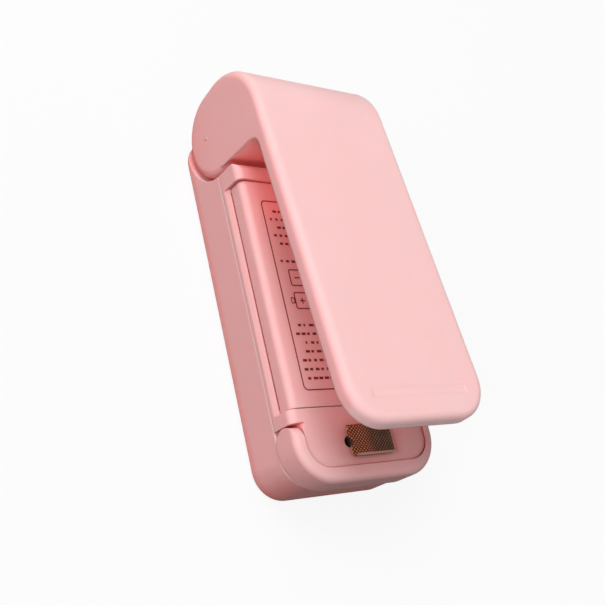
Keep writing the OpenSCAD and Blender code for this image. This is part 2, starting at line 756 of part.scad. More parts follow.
// Place where a lead is soldered to a front contact
tab_w = 3;
tab_z = cell_z + 5;
module front_contact(x) {
  half = 5;
  contact_plate(x - half, x + half, bay_front_y);
  translate([x - tab_w / 2, bay_front_y, cell_z]) cube([tab_w, contact_t, tab_z - cell_z]);
}

module series_link() {
  color("silver") contact_plate(-cell_x - 5, cell_x + 5, bay_back_y - contact_t);
}

module positive_contact() {
  color("silver") front_contact(-cell_x);
}

module negative_contact() {
  color("silver") front_contact(cell_x);
}

module contact_springs() {
  wire_r = 0.35;
  length = spring_l - 2 * wire_r;
  color("silver") {
    translate([-cell_x, bay_back_y - contact_t - wire_r, cell_z]) rotate([90, 0, 0])
      wire(coil(4.2, 2.6, length, 3.5), wire_r, [0, 0, 1]);
    translate([cell_x, bay_front_y + contact_t + wire_r, cell_z]) rotate([-90, 0, 0])
      wire(coil(4.2, 2.6, length, 3.5), wire_r, [0, 0, 1]);
  }
}

// Leads run from solder tags, over the bay's front wall and round the switch
module lead(points) {
  wire(smoothed(points, 3), lead_r, [1, 0.2, 0], 8);
}

tag_z = switch_z - terminal_l;
lead_front_y = bay_front_y - lead_r;
module battery_lead() {
  color("red") lead([[-cell_x, lead_front_y, tab_z - 0.8], [-7.4, lead_front_y - 2.2, tab_z - 1.4],
    [-6.2, lead_front_y - 3.6, tag_z + 5.1], [-4, lead_front_y - 4.4, tag_z + 1.5],
    [-terminal_x, heater_y + 3.2, tag_z + 0.5],
    [-terminal_x, heater_y + terminal_t / 2 + lead_r, tag_z + 1.2]]);
}

module heater_lead() {
  color("black") lead([[terminal_x, heater_y - terminal_t / 2 - lead_r, tag_z + 1.2],
    [terminal_x, heater_y - 3, tag_z + 0.5], [4.2, heater_y - 4.6, tag_z + 1.1],
    [6.4, heater_y - 3.8, tag_z + 4.5], [6.9, heater_y - 1.8, tag_z + 8.5],
    [ribbon_out + ribbon_t + lead_r, heater_y - 0.6, ribbon_end_z + 1]]);
}

module return_lead() {
  color("black") lead([[cell_x, lead_front_y, tab_z - 0.8], [cell_x, lead_front_y - 2.4, tab_z - 1.4],
    [4, lead_front_y - 3.6, tag_z + 10.1], [-3, lead_front_y - 3.8, tag_z + 10.1],
    [-ribbon_out - 1.2, heater_y + 3, ribbon_end_z + 0.6],
    [-ribbon_out - ribbon_t - lead_r, heater_y - 0.4, ribbon_end_z + 1]]);
}

module case_screws() {
  slot_t = 0.4;
  color("silver") at_screws() difference() {
    union() {
      translate([0, 0, screw_head_z]) cylinder(r = screw_head_r, h = screw_head_h);
      translate([0, 0, screw_head_z]) cylinder(r = screw_r, h = screw_len - screw_head_z);
    }
    for (a = [0, 90]) rotate([0, 0, a]) translate([-1, -slot_t / 2, screw_head_z - over])
      cube([2, slot_t, over + 0.7]);
  }
}

lower_case();
upper_case();
battery_cover();
lever();
press_pad();
safety_cover();
hinge_pin();
lever_spring();
heater_carrier();
heater_plate();
heating_ribbon();
release_tape();
carrier_springs();
switch_body();
switch_plunger();
switch_terminals();
battery_cells();
series_link();
positive_contact();
negative_contact();
contact_springs();
battery_lead();
heater_lead();
return_lead();
case_screws();
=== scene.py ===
"""Looks of a hand-held mini bag sealer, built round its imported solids."""
import json
import math
from functools import cache, partial

import bmesh
import bpy
from bpy.props import FloatProperty, FloatVectorProperty, IntProperty, PointerProperty
from mathutils import Matrix, Vector


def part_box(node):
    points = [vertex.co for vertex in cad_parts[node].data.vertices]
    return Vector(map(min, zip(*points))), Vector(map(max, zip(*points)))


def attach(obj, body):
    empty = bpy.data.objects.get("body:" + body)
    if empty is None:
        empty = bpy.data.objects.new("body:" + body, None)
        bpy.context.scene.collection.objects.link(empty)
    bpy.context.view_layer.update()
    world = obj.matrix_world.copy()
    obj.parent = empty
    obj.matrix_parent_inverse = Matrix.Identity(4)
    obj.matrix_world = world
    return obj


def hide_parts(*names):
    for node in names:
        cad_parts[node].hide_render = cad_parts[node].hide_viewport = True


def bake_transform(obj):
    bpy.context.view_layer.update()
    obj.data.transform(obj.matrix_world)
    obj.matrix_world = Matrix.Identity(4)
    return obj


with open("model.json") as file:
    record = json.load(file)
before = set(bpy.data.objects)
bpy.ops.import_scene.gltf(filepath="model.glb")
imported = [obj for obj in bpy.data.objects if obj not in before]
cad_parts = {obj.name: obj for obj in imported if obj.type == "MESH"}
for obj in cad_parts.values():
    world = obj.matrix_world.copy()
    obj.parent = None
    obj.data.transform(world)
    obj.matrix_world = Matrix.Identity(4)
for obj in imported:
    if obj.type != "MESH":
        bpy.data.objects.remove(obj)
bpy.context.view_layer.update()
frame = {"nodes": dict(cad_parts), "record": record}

bl_info = {
    "name": "Mini Bag Sealer",
    "version": (1, 0, 0),
    "blender": (4, 5, 0),
    "location": "View3D > Sidebar > Bag Sealer",
    "description": "Dresses the solids of a hand-held bag sealer with finishes and fine pieces",
    "category": "Object",
}

MM = 0.001
JOINTS = {j["name"]: j for j in frame["record"]["behaviour"]["joints"]}
PIVOT = Vector(JOINTS["lever_hinge"]["pos_m"])


def corners(node):
    """Lowest and highest corner of a solid, in metres."""
    low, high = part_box(node)
    return Vector(low), Vector(high)


# Sizes and colours that a user would change
def length(name, description, default):
    return FloatProperty(name=name, description=description, default=default, min=0.0, unit="LENGTH", precision=5)


def colour(name, description, default):
    return FloatVectorProperty(name=name, description=description, default=default, size=4, min=0.0, max=1.0,
                               subtype="COLOR")


class SealerSizes(bpy.types.PropertyGroup):
    """Sizes of the fine pieces."""
    edge_round: length("Edge round", "Rounding that the light finds on sharp moulded edges", 0.3 * MM)
    weave_pitch: length("Weave pitch", "Distance between two raised threads of the tape", 0.88 * MM)
    weave_rise: length("Weave rise", "Height of the tape's raised threads", 0.045 * MM)
    tape_hump: length("Tape hump", "Rise of the loose rear corner of the tape", 0.32 * MM)
    tape_lip: length("Tape lip", "Rise of the tape's front edge", 0.2 * MM)
    print_line: length("Print line", "Breadth of a printed line", 0.3 * MM)
    print_rise: length("Print rise", "Thickness of the printed ink", 0.02 * MM)
    rule_step: length("Rule step", "Distance between two rows of printed dashes", 2.2 * MM)
    dash_pitch: length("Dash pitch", "Distance between two printed dashes", 1.6 * MM)
    dash_breadth: length("Dash breadth", "Breadth of a printed dash", 0.62 * MM)
    wire_sides: IntProperty(name="Wire sides", description="Sides round a wire or lead", default=14, min=6, max=32)


class SealerColours(bpy.types.PropertyGroup):
    """Colours of the finishes."""
    shell: colour("Shell", "Moulded plastic", (0.93, 0.585, 0.582, 1))
    # Painted shade: the darker, redder tone that upright faces get
    shell_side_shade: colour("Shell sides", "Moulded plastic on upright faces", (0.93, 0.46, 0.455, 1))
    # Painted shade for undersides and nooks, tinted red like light through the walls
    shell_nook_shade: colour("Shell nooks", "Moulded plastic with light behind its walls", (0.96, 0.26, 0.235, 1))
    # Painted shade in the narrow gaps between the mouldings
    shell_gap_shade: colour("Shell gaps", "Depth of the narrow gaps between the mouldings", (0.42, 0.03, 0.03, 1))
    ink: colour("Ink", "Printed lines on the battery cover", (0.24, 0.014, 0.018, 1))
    # Painted light and shade on the tape: a lit tone for its left side and a shaded tone for its right
    tape_lit: colour("Tape gold", "Lit side of the coated tape", (0.21, 0.045, 0.012, 1))
    tape_shade: colour("Tape dark", "Used side of the coated tape", (0.05, 0.020, 0.007, 1))
    tape_thread: colour("Tape thread", "Raised threads of the tape", (0.85, 0.55, 0.27, 1))
    pad: colour("Pad", "Silicone press pad", (0.72, 0.66, 0.60, 1))
    steel: colour("Steel", "Pin, springs and screws", (0.55, 0.55, 0.56, 1))
    nickel: colour("Nickel", "Plated contacts", (0.62, 0.60, 0.56, 1))
    cell_film: colour("Cell film", "Film round the cells", (0.018, 0.02, 0.024, 1))
    lead_red: colour("Red lead", "Insulation of the battery lead", (0.42, 0.015, 0.012, 1))
    lead_black: colour("Black lead", "Insulation of the heater leads", (0.012, 0.012, 0.013, 1))


def sizes():
    return bpy.context.scene.sealer_sizes


def colours():
    return bpy.context.scene.sealer_colours


def add_node(tree, kind, inputs=None, output=0, **settings):
    """Adds a node fed with constants or with other nodes' outputs, and returns one output of it."""
    node = tree.nodes.new(kind)
    for key, value in settings.items():
        setattr(node, key, value)
    for key, value in (inputs or {}).items():
        if isinstance(value, bpy.types.NodeSocket):
            tree.links.new(value, node.inputs[key])
        else:
            node.inputs[key].default_value = value
    return node.outputs[output] if node.outputs else None


# Shader maths
class Value:
    """What varies over a surface, written with ordinary operators."""

    def __init__(self, finish, socket):
        self.finish = finish
        self.socket = socket

    def maths(self, operation, *parts):
        return self.finish.node("ShaderNodeMath", {"operation": operation}, dict(enumerate(parts)))

    def __add__(self, other):
        return self.maths("ADD", self, other)

    __radd__ = __add__

    def __sub__(self, other):
        return self.maths("SUBTRACT", self, other)

    def __rsub__(self, other):
        return self.maths("SUBTRACT", other, self)

    def __mul__(self, other):
        return self.maths("MULTIPLY", self, other)

    __rmul__ = __mul__

    def __gt__(self, other):
        return self.maths("GREATER_THAN", self, other)

    def cos(self):
        return self.maths("COSINE", self)

    def abs(self):
        return self.maths("ABSOLUTE", self)

    def soft(self, low, high):
        """0 below low, 1 above high and smooth between."""
        return self.finish.node("ShaderNodeMapRange", {"interpolation_type": "SMOOTHSTEP"},
                                {"Value": self, "From Min": low, "From Max": high})


class Finish:
    """A material whose nodes are added one by one to a principled shader."""

    def __init__(self, name, **constants):
        self.material = bpy.data.materials.new(name)
        self.material.use_nodes = True
        self.tree = self.material.node_tree
        self.shader = self.tree.nodes["Principled BSDF"]
        for socket, value in constants.items():
            self.shader.inputs[socket.replace("_", " ")].default_value = value
        self.place = self.node("ShaderNodeTexCoord", output="Object")

    def node(self, kind, settings=None, inputs=None, output=0):
        plain = {key: getattr(value, "socket", value) for key, value in (inputs or {}).items()}
        return Value(self, add_node(self.tree, kind, plain, output, **(settings or {})))

    def set(self, socket, value):
        self.tree.links.new(value.socket, self.shader.inputs[socket])

    def parts(self, vector):
        split = self.node("ShaderNodeSeparateXYZ", inputs={"Vector": vector}).socket.node
        return [Value(self, out) for out in split.outputs]

    def axes(self):
        return self.parts(self.place)

    def noise(self, scale, detail=2.0, rough=0.5, stretch=None):
        where = self.place
        if stretch:
            where = self.node("ShaderNodeMapping", inputs={"Vector": where, "Scale": stretch})
        return self.node("ShaderNodeTexNoise", inputs={
            "Vector": where, "Scale": scale, "Detail": detail, "Roughness": rough})

    def blend(self, share, first, second):
        return self.node("ShaderNodeMix", {"data_type": "RGBA"}, {0: share, 6: first, 7: second}, output=2)

    def rounded(self, radius, samples=4):
        """A normal that turns gently over sharp edges."""
        return self.node("ShaderNodeBevel", {"samples": samples}, {"Radius": radius})

    def closeness(self, distance, samples, own):
        """1 in the open, and less where the piece itself or its neighbours stand close."""
        return self.node("ShaderNodeAmbientOcclusion", {"samples": samples, "only_local": own},
                         {"Distance": distance}, output="AO")

    def mottle(self, share, base, dark, light):
        """A base colour that varies between a darker and a lighter tone."""
        self.set("Base Color", self.blend(share, tint(base, dark), tint(base, light)))

    def bump(self, height, distance, strength, normal=None):
        inputs = {"Height": height, "Distance": distance, "Strength": strength}
        if normal is not None:
            inputs["Normal"] = normal
        self.set("Normal", self.node("ShaderNodeBump", inputs=inputs))


def tint(rgb, factor):
    return tuple(min(c * factor, 1.0) for c in rgb[:3]) + (1.0,)


# Finishes, each made once and shared
@cache
def moulded_pink(piece):
    """Satin moulded plastic with a fine spark-eroded grain and faint clouding, with painted light and shade over
    it.
    """
    base = colours().shell
    f = Finish("moulded_pink_" + piece, IOR=1.47, Specular_IOR_Level=0.1, Subsurface_Weight=0.5,
               Subsurface_Scale=0.8 * MM, Subsurface_Radius=(1.0, 0.5, 0.45))
    cloud = f.noise(38, 3, 0.55)
    grain = f.noise(5200, 2, 0.6)
    flow = f.noise(60, 2, 0.5, stretch=(1.0, 0.18, 1.0))
    # Painted light and shade: faces that lie flat get the lighter shell tone, and upright ones a darker, redder
    # painted shade
    x, y, z = f.axes()
    across, ahead, facing = f.parts(f.node("ShaderNodeTexCoord", output="Normal"))
    if piece == "lever":
        # The lever's front edge gets the lighter tone of the top, as a painted highlight
        facing = facing + ahead.soft(-0.25, -0.8)
    drift = cloud.soft(0.3, 0.7) * 0.7 + flow.soft(0.35, 0.65) * 0.3
    open_face = f.blend(facing.soft(0.05, 0.9), colours().shell_side_shade,
                        f.blend(drift, tint(base, 0.98), tint(base, 1.015)))
    # Undersides and nooks get painted shade in a deep red, standing in for light that comes through the plastic
    # walls
    deep = colours().shell_nook_shade
    open_face = f.blend(facing.soft(0.02, -0.45) * 0.55, open_face, deep)
    # The lower case gets more painted shade towards its bottom and on its front faces
    if piece == "lower_case":
        shade = z.soft(4 * MM, 0.0) * 0.7 + ahead.soft(-0.3, -0.9) * 0.6
        open_face = f.blend(shade, open_face, deep)
    # Nooks, found by ambient occlusion, get more of that painted shade
    own = piece in ("lower_case", "safety_cover")
    nook = 1.0 - f.closeness(24 * MM, 8, own)
    warm = f.blend(nook.soft(0.1, 0.8) * (0.75 if piece == "lever" else 0.55), open_face, deep)
    # Narrow gaps get painted shade, most of all beside the battery cover, but the seam round the case is kept out
    # of it
    near, alone = (f.closeness(0.9 * MM, 6, local) for local in (False, True))
    gap_shade_share = {"lever": 0.15, "safety_cover": 0.5, "lower_case": 0.5}.get(piece, 0.35)
    if piece in ("upper_case", "battery_cover"):
        half = (COVER_HIGH.y - COVER_LOW.y) / 2 - 1.2 * MM
        gap_shade_share = gap_shade_share + 0.65 * ((y - (COVER_HIGH.y + COVER_LOW.y) / 2).abs() - half).soft(0.6 * MM, 0.0)
    dark = (alone - near).soft(0.2, 0.5) * (z - SEAM_Z).abs().soft(0.3 * MM, 0.7 * MM) * gap_shade_share
    body = f.blend(dark, warm, colours().shell_gap_shade)
    # The seam round the case gets a painted highlight, a lighter pink line
    seam = (z - SEAM_Z).abs().soft(0.4 * MM, 0.12 * MM)
    if piece in ("lower_case", "upper_case"):
        body = f.blend(seam * 0.75, body, (0.98, 0.64, 0.63, 1))
    if piece == "upper_case":
        # Walls of the heater's slot are painted nearly black, as painted shade down in the slot
        half_w, half_l, fade = 9.5 * MM, 3.6 * MM, 0.3 * MM
        slot = ((DECK_Z - z).soft(0.15 * MM, 0.5 * MM) * (half_w - x.abs()).soft(0.0, fade)
                * (half_l - (y - HEATER_Y).abs()).soft(0.0, fade))
        body = f.blend(slot, body, (0.03, 0.008, 0.006, 1))
    f.set("Base Color", body)
    f.set("Roughness", 0.37 + 0.09 * grain + 0.05 * cloud)
    soft = {"lever": 2.5, "upper_case": 1.3}.get(piece, 1.0)
    f.bump(grain, 0.012 * MM, 0.35, f.rounded(sizes().edge_round * soft, 6))
    return f.material


@cache
def printed_ink():
    """Screen-printed ink, a little uneven."""
    f = Finish("printed_ink", IOR=1.45)
    patch = f.noise(900, 3, 0.6)
    f.mottle(patch.soft(0.35, 0.7), colours().ink, 0.85, 1.6)
    f.set("Roughness", 0.42 + 0.12 * patch)
    f.bump(patch, 0.004 * MM, 0.4)
    return f.material


@cache
def coated_tape():
    """Woven glass tape with a brown coat and scorched patches, with painted light on its left, painted shade on
    its right and a painted shadow under its front edge.
    """
    tones = colours()
    f = Finish("coated_tape", IOR=1.38)
    x, y, z = f.axes()
    turn = 2 * math.pi / sizes().weave_pitch
    weave = (x * turn).cos() * ((y - HEATER_Y) * turn).cos()
    wander = f.noise(420, 3, 0.6)
    # Painted light and shade: the left of the tape and its threads take the lit tone, the right the shaded tone
    shaded_side = (x + (wander - 0.5) * 4 * MM).soft(-3.4 * MM, 1.2 * MM)
    scorched = f.blend(wander.soft(0.35, 0.65), tones.tape_lit, (0.13, 0.018, 0.012, 1))
    coat = f.blend(shaded_side, scorched, tones.tape_shade)
    thread = (weave + (wander - 0.5) * 0.6).soft(0.3, 0.8)
    lit = f.blend(shaded_side, tones.tape_thread, tint(tones.tape_thread, 0.5))
    body = f.blend(thread * (0.45 + 0.6 * wander), coat, lit)
    # The front edge shows the bare cloth, and below it the tape is painted near black as a painted shadow line
    top = TAPE_HIGH.z - 0.45 * MM
    lip = (y - (TAPE_LOW.y + 0.5 * MM)).soft(0.1 * MM, -0.1 * MM) * (x + 6 * MM).soft(0.0, 1.8 * MM)
    edged = f.blend(lip * 0.85, body, (0.62, 0.43, 0.32, 1))
    f.set("Base Color", f.blend((z - top).soft(0.0, -0.15 * MM), edged, (0.035, 0.008, 0.006, 1)))
    f.set("Roughness", 0.32 + 0.25 * wander - 0.1 * thread)
    f.bump(weave + 0.4 * f.noise(9000, 2, 0.6), 0.03 * MM, 0.6)
    return f.material


@cache
def silicone():
    """Soft off-white silicone with a dusty bloom."""
    base = colours().pad
    f = Finish("silicone", IOR=1.41, Subsurface_Weight=0.3, Subsurface_Scale=1.2 * MM,
               Subsurface_Radius=(1.0, 0.8, 0.6))
    dust = f.noise(700, 4, 0.65)
    f.set("Base Color", f.blend(dust.soft(0.4, 0.75), base, tint(base, 1.12)))
    f.set("Roughness", 0.52 + 0.2 * dust)
    f.bump(f.noise(3500, 2, 0.5), 0.01 * MM, 0.4, f.rounded(sizes().edge_round))
    return f.material


@cache
def drawn_metal(name, tone, rough):
    """Drawn or rolled metal with fine lines along Y and a few dull spots."""
    base = tuple(getattr(colours(), tone)) if isinstance(tone, str) else tone
    f = Finish(name, Metallic=1.0)
    lines = f.noise(2600, 3, 0.6, stretch=(1.0, 0.06, 1.0))
    spots = f.noise(260, 4, 0.6)
    f.mottle(spots.soft(0.35, 0.7), base, 0.86, 1.06)
    f.set("Roughness", rough + 0.14 * lines + 0.1 * spots.soft(0.5, 0.75))
    f.bump(lines, 0.004 * MM, 0.5, f.rounded(0.12 * MM))
    return f.material


@cache
def plain_moulding(name, base, rough):
    """Small technical moulding with a fine grain."""
    f = Finish(name, IOR=1.5, Specular_IOR_Level=0.25)
    grain = f.noise(4200, 3, 0.6)
    cloud = f.noise(180, 2, 0.5)
    f.mottle(cloud.soft(0.3, 0.7), base, 0.85, 1.18)
    f.set("Roughness", rough + 0.16 * grain)
    f.bump(grain, 0.01 * MM, 0.4, f.rounded(0.15 * MM))
    return f.material


@cache
def heat_board():
    """Layered heat-proof board: straw coloured, with darker fibres."""
    f = Finish("heat_board", IOR=1.5)
    fibre = f.noise(1500, 4, 0.65, stretch=(0.12, 1.0, 1.0))
    f.set("Base Color", f.blend(fibre.soft(0.35, 0.65), (0.30, 0.19, 0.09, 1), (0.46, 0.33, 0.17, 1)))
    f.set("Roughness", 0.55 + 0.2 * fibre)
    f.bump(fibre, 0.01 * MM, 0.6)
    return f.material


@cache
def cell_film():
    """Printed film shrunk on to a cell, with a paler band at one end."""
    f = Finish("cell_film", IOR=1.48)
    x, y, _ = f.axes()
    crease = f.noise(520, 3, 0.6, stretch=(1.0, 0.25, 1.0))
    # The bands lie at the button end, which faces the other way on the second cell
    along = (x > 0.0) * (CELL_MID * 2 - 2 * y) + y
    band = (along - CELL_MID).soft(-9.2 * MM, -9.5 * MM)
    f.set("Base Color", f.blend(band, colours().cell_film, (0.20, 0.21, 0.22, 1)))
    f.set("Roughness", 0.26 + 0.16 * crease)
    f.set("Coat Weight", 0.35 + 0.2 * crease)
    f.bump(crease, 0.01 * MM, 0.4)
    return f.material


@cache
def insulation(name, tone):
    """Flexible insulation, slightly rippled along its length."""
    f = Finish(name, IOR=1.5)
    ripple = f.noise(1800, 2, 0.5)
    f.mottle(ripple.soft(0.3, 0.7), getattr(colours(), tone), 0.9, 1.15)
    f.set("Roughness", 0.36 + 0.14 * ripple)
    f.bump(ripple, 0.008 * MM, 0.5)
    return f.material


# Mesh helpers
def new_piece(name, mesh, material, body, *nodes, slot=None):
    """Adds a finished mesh to the scene, on a body or, when given two, fixed where it stands, and in place of
    solids.
    """
    piece = bpy.data.objects.new(name, mesh)
    bpy.context.scene.collection.objects.link(piece)
    mesh.materials.clear()
    mesh.materials.append(material)
    if isinstance(body, str):
        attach(piece, body)
    else:
        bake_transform(piece)
    if nodes:
        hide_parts(*nodes)
    return piece


def mesh_of(bm, name, smooth_below=None):
    """A closed mesh, smooth where its faces meet below an angle in degrees."""
    bmesh.ops.recalc_face_normals(bm, faces=bm.faces)
    mesh = bpy.data.meshes.new(name)
    bm.to_mesh(mesh)
    bm.free()
    if smooth_below is not None:
        mesh.shade_smooth()
        mesh.set_sharp_from_angle(angle=math.radians(smooth_below))
    return mesh


def smooth_copy(node, tangent=24):
    """A merged copy of a solid whose flat faces shade flat, with fillets that run into them without a crease."""
    source = frame["nodes"][node].data
    weld, flatness = 2e-6, 0.99995
    spots, faces = [], []
    seat, welded = {}, []
    for v in source.vertices:
        key = tuple(round(c / weld) for c in v.co)
        if key not in seat:
            seat[key] = len(spots)
            spots.append(v.co.copy())
        welded.append(seat[key])
    # Faces of the solid are the islands of its mesh before welding
    island = list(range(len(source.vertices)))

    def root(i):
        while island[i] != i:
            island[i] = island[island[i]]
            i = island[i]
        return i

    for poly in source.polygons:
        first = root(poly.vertices[0])
        for v in poly.vertices[1:]:
            island[root(v)] = first
    owners, sums, flat = [], {}, {}
    for poly in source.polygons:
        ring = [welded[v] for v in poly.vertices]
        if len(set(ring)) < len(ring):
            continue
        owner = root(poly.vertices[0])
        normal = poly.normal.copy()
        faces.append(ring)
        owners.append(owner)
        flat.setdefault(owner, []).append(normal)
        for k, v in enumerate(ring):
            before, after = spots[ring[k - 1]] - spots[v], spots[ring[(k + 1) % len(ring)]] - spots[v]
            sums.setdefault(v, {}).setdefault(owner, Vector((0, 0, 0)))
            sums[v][owner] += normal * before.angle(after, 0.0)
    level = {owner: all(n.dot(found[0]) > flatness for n in found) for owner, found in flat.items()}
    limit = math.cos(math.radians(tangent))

    def normal_at(v, owner):
        return flat[owner][0] if level[owner] else sums[v][owner].normalized()

    normals = []
    for ring, owner in zip(faces, owners):
        for v in ring:
            own = normal_at(v, owner)
            if not level[owner]:
                near = [(normal_at(v, other), level[other]) for other in sums[v] if other != owner]
                near = [(n, planar) for n, planar in near if n.dot(own) > limit]
                planes = [n for n, planar in near if planar]
                if planes:
                    own = max(planes, key=own.dot)
                else:
                    own = sum((n for n, planar in near), own).normalized()
            normals.append(own)
    mesh = bpy.data.meshes.new(node)
    mesh.from_pydata(spots, [], faces)
    mesh.shade_smooth()
    mesh.normals_split_custom_set(normals)
    return mesh


def dress(node, material):
    """Gives a solid that shows its own shape a finish."""
    mesh = frame["nodes"][node].data
    mesh.materials.clear()
    mesh.materials.append(material)


def box_into(bm, low, high):
    """Adds a closed box between two corners."""
    low, high = Vector(low), Vector(high)
    place = Matrix.Translation((low + high) / 2) @ Matrix.Diagonal((*(high - low), 1))
    bmesh.ops.create_cube(bm, size=1.0, matrix=place)


def rounded_outline(x0, y0, x1, y1, r, steps=8):
    points = []
    for cx, cy, start in ((x1 - r, y1 - r, 0), (x0 + r, y1 - r, 90), (x0 + r, y0 + r, 180), (x1 - r, y0 + r, 270)):
        for i in range(steps + 1):
            a = math.radians(start + 90 * i / steps)
            points.append((cx + r * math.cos(a), cy + r * math.sin(a)))
    return points


def ring_into(bm, x0, y0, x1, y1, r, line, z, rise):
    """Adds a closed flat frame with round corners."""
    rings = []
    for inset, height in ((0, z), (0, z + rise), (line, z + rise), (line, z)):
        outline = rounded_outline(x0 + inset, y0 + inset, x1 - inset, y1 - inset, max(r - inset, 0.05 * MM))
        rings.append([bm.verts.new((px, py, height)) for px, py in outline])
    count = len(rings[0])
    for k, ring in enumerate(rings):
        following = rings[(k + 1) % 4]
        for i in range(count):
            j = (i + 1) % count
            bm.faces.new((ring[i], ring[j], following[j], following[i]))


def in_mm(*pairs):
    """Pairs of millimetres, in metres."""
    return [(a * MM, b * MM) for a, b in pairs]


def lathe_into(bm, profile, centre, along, steps=48):
    """Adds a closed turned shape: profile is (distance along, radius) from end to end."""
    along = Vector(along).normalized()
    side = along.orthogonal().normalized()
    up = along.cross(side)
    rings = []
    for distance, radius in profile:
        middle = Vector(centre) + along * distance
        if radius < 1e-9:
            rings.append([bm.verts.new(middle)])
            continue
        rings.append([bm.verts.new(middle + radius * (math.cos(a) * side + math.sin(a) * up))
                      for a in (2 * math.pi * i / steps for i in range(steps))])
    for first, second in zip(rings, rings[1:]):
        for i in range(steps):
            j = (i + 1) % steps
            quad = [ring[k % len(ring)] for ring, k in ((first, i), (first, j), (second, j), (second, i))]
            bm.faces.new(list(dict.fromkeys(quad)))


# Trees of geometry nodes
def tree_with(name, **inputs):
    """A tree that takes a geometry, the named inputs and a material, with its input sockets."""
    tree = bpy.data.node_groups.new(name, "GeometryNodeTree")
    for label, kind in {"Geometry": "Geometry", **inputs, "Material": "Material"}.items():
        tree.interface.new_socket(label, in_out="INPUT", socket_type="NodeSocket" + kind)
    tree.interface.new_socket("Geometry", in_out="OUTPUT", socket_type="NodeSocketGeometry")
    return tree, tree.nodes.new("NodeGroupInput").outputs


def close_tree(tree, given, last):
    """Ends a tree in Realize Instances and Set Material."""
    real = add_node(tree, "GeometryNodeRealizeInstances", {"Geometry": last})
    coat = add_node(tree, "GeometryNodeSetMaterial", {"Geometry": real, "Material": given["Material"]})
    add_node(tree, "NodeGroupOutput", {"Geometry": coat})
    return tree


def wire_tree():
    """A round wire swept along each curve."""
    tree, given = tree_with("wire_along_path", Radius="Float", Sides="Int")
    ring = add_node(tree, "GeometryNodeCurvePrimitiveCircle", {
        "Radius": given["Radius"], "Resolution": given["Sides"]})
    sweep = add_node(tree, "GeometryNodeCurveToMesh", {
        "Curve": given["Geometry"], "Profile Curve": ring, "Fill Caps": True})
    return close_tree(tree, given, add_node(tree, "GeometryNodeSetShadeSmooth", {"Geometry": sweep}))


def spots_tree():
    """A copy of one shape at every point."""
    tree, given = tree_with("shape_at_spots", Shape="Object")
    shape = add_node(tree, "GeometryNodeObjectInfo", {"Object": given["Shape"]}, "Geometry")
    return close_tree(tree, given, add_node(tree, "GeometryNodeInstanceOnPoints", {
        "Points": given["Geometry"], "Instance": shape}))


def rules_tree():
    """Broken rules: rows of dashes, each row with its own indent and each dash with its own length."""
    tree, given = tree_with("broken_rules", Rows="Int", Step="Float", Dashes="Int", Pitch="Float", Breadth="Float",
                            Thickness="Float", Start="Vector", Seed="Int")
    widest_indent = 2.2 * MM
    shortest, longest = 0.3, 0.82

    add = partial(add_node, tree)

    def vector(**sides):
        return add("ShaderNodeCombineXYZ", sides)

    def chance(low, high):
        return add("FunctionNodeRandomValue", {2: low, 3: high, "Seed": given["Seed"]}, 1, data_type="FLOAT")

    fall = vector(Y=add("ShaderNodeMath", {0: given["Step"], 1: -1}, operation="MULTIPLY"))
    rows = add("GeometryNodeMeshLine", {"Count": given["Rows"], "Start Location": given["Start"], "Offset": fall})
    starts = add("GeometryNodeSetPosition", {"Geometry": rows, "Offset": vector(X=chance(0.0, widest_indent))})
    row = add("GeometryNodeMeshLine", {"Count": given["Dashes"], "Offset": vector(X=given["Pitch"])})
    spots = add("GeometryNodeRealizeInstances", {
        "Geometry": add("GeometryNodeInstanceOnPoints", {"Points": starts, "Instance": row})})
    size = vector(X=given["Pitch"], Y=given["Breadth"], Z=given["Thickness"])
    to_corner = add("ShaderNodeVectorMath", {0: size, 1: (0.5, 0, 0.5)}, operation="MULTIPLY")
    bar = add("GeometryNodeTransform", {
        "Geometry": add("GeometryNodeMeshCube", {"Size": size}), "Translation": to_corner})
    return close_tree(tree, given, add("GeometryNodeInstanceOnPoints", {
        "Points": spots, "Instance": bar, "Scale": vector(X=chance(shortest, longest), Y=1, Z=1)}))


def grown(tree, source, **inputs):
    """Runs a tree on an object's data and returns the plain mesh that comes out."""
    carrier = bpy.data.objects.new("carrier", source)
    bpy.context.scene.collection.objects.link(carrier)
    modifier = carrier.modifiers.new("tree", "NODES")
    modifier.node_group = tree
    for item in tree.interface.items_tree:
        if item.in_out == "INPUT" and item.name in inputs:
            modifier[item.identifier] = inputs[item.name]
    graph = bpy.context.evaluated_depsgraph_get()
    mesh = bpy.data.meshes.new_from_object(carrier.evaluated_get(graph))
    carrier.modifiers.clear()
    bpy.data.objects.remove(carrier)
    return mesh


def path_data(paths):
    """Curve data with one open poly line for each list of points."""
    data = bpy.data.curves.new("path", "CURVE")
    data.dimensions = "3D"
    for points in paths:
        spline = data.splines.new("POLY")
        spline.points.add(len(points) - 1)
        for spot, p in zip(spline.points, points):
            spot.co = (*p, 1)
    return data


def points_data(spots):
    data = bpy.data.meshes.new("spots")
    data.from_pydata(spots, [], [])
    return data


# Places taken from the solids
COVER_LOW, COVER_HIGH = corners("battery_cover")
TAPE_LOW, TAPE_HIGH = corners("release_tape")
CELLS_LOW, CELLS_HIGH = corners("battery_cells")
DECK_Z = COVER_HIGH.z
SEAM_Z = corners("upper_case")[0].z
HEATER_Y = (TAPE_LOW.y + TAPE_HIGH.y) / 2
CELL_MID = (CELLS_LOW.y + CELLS_HIGH.y) / 2


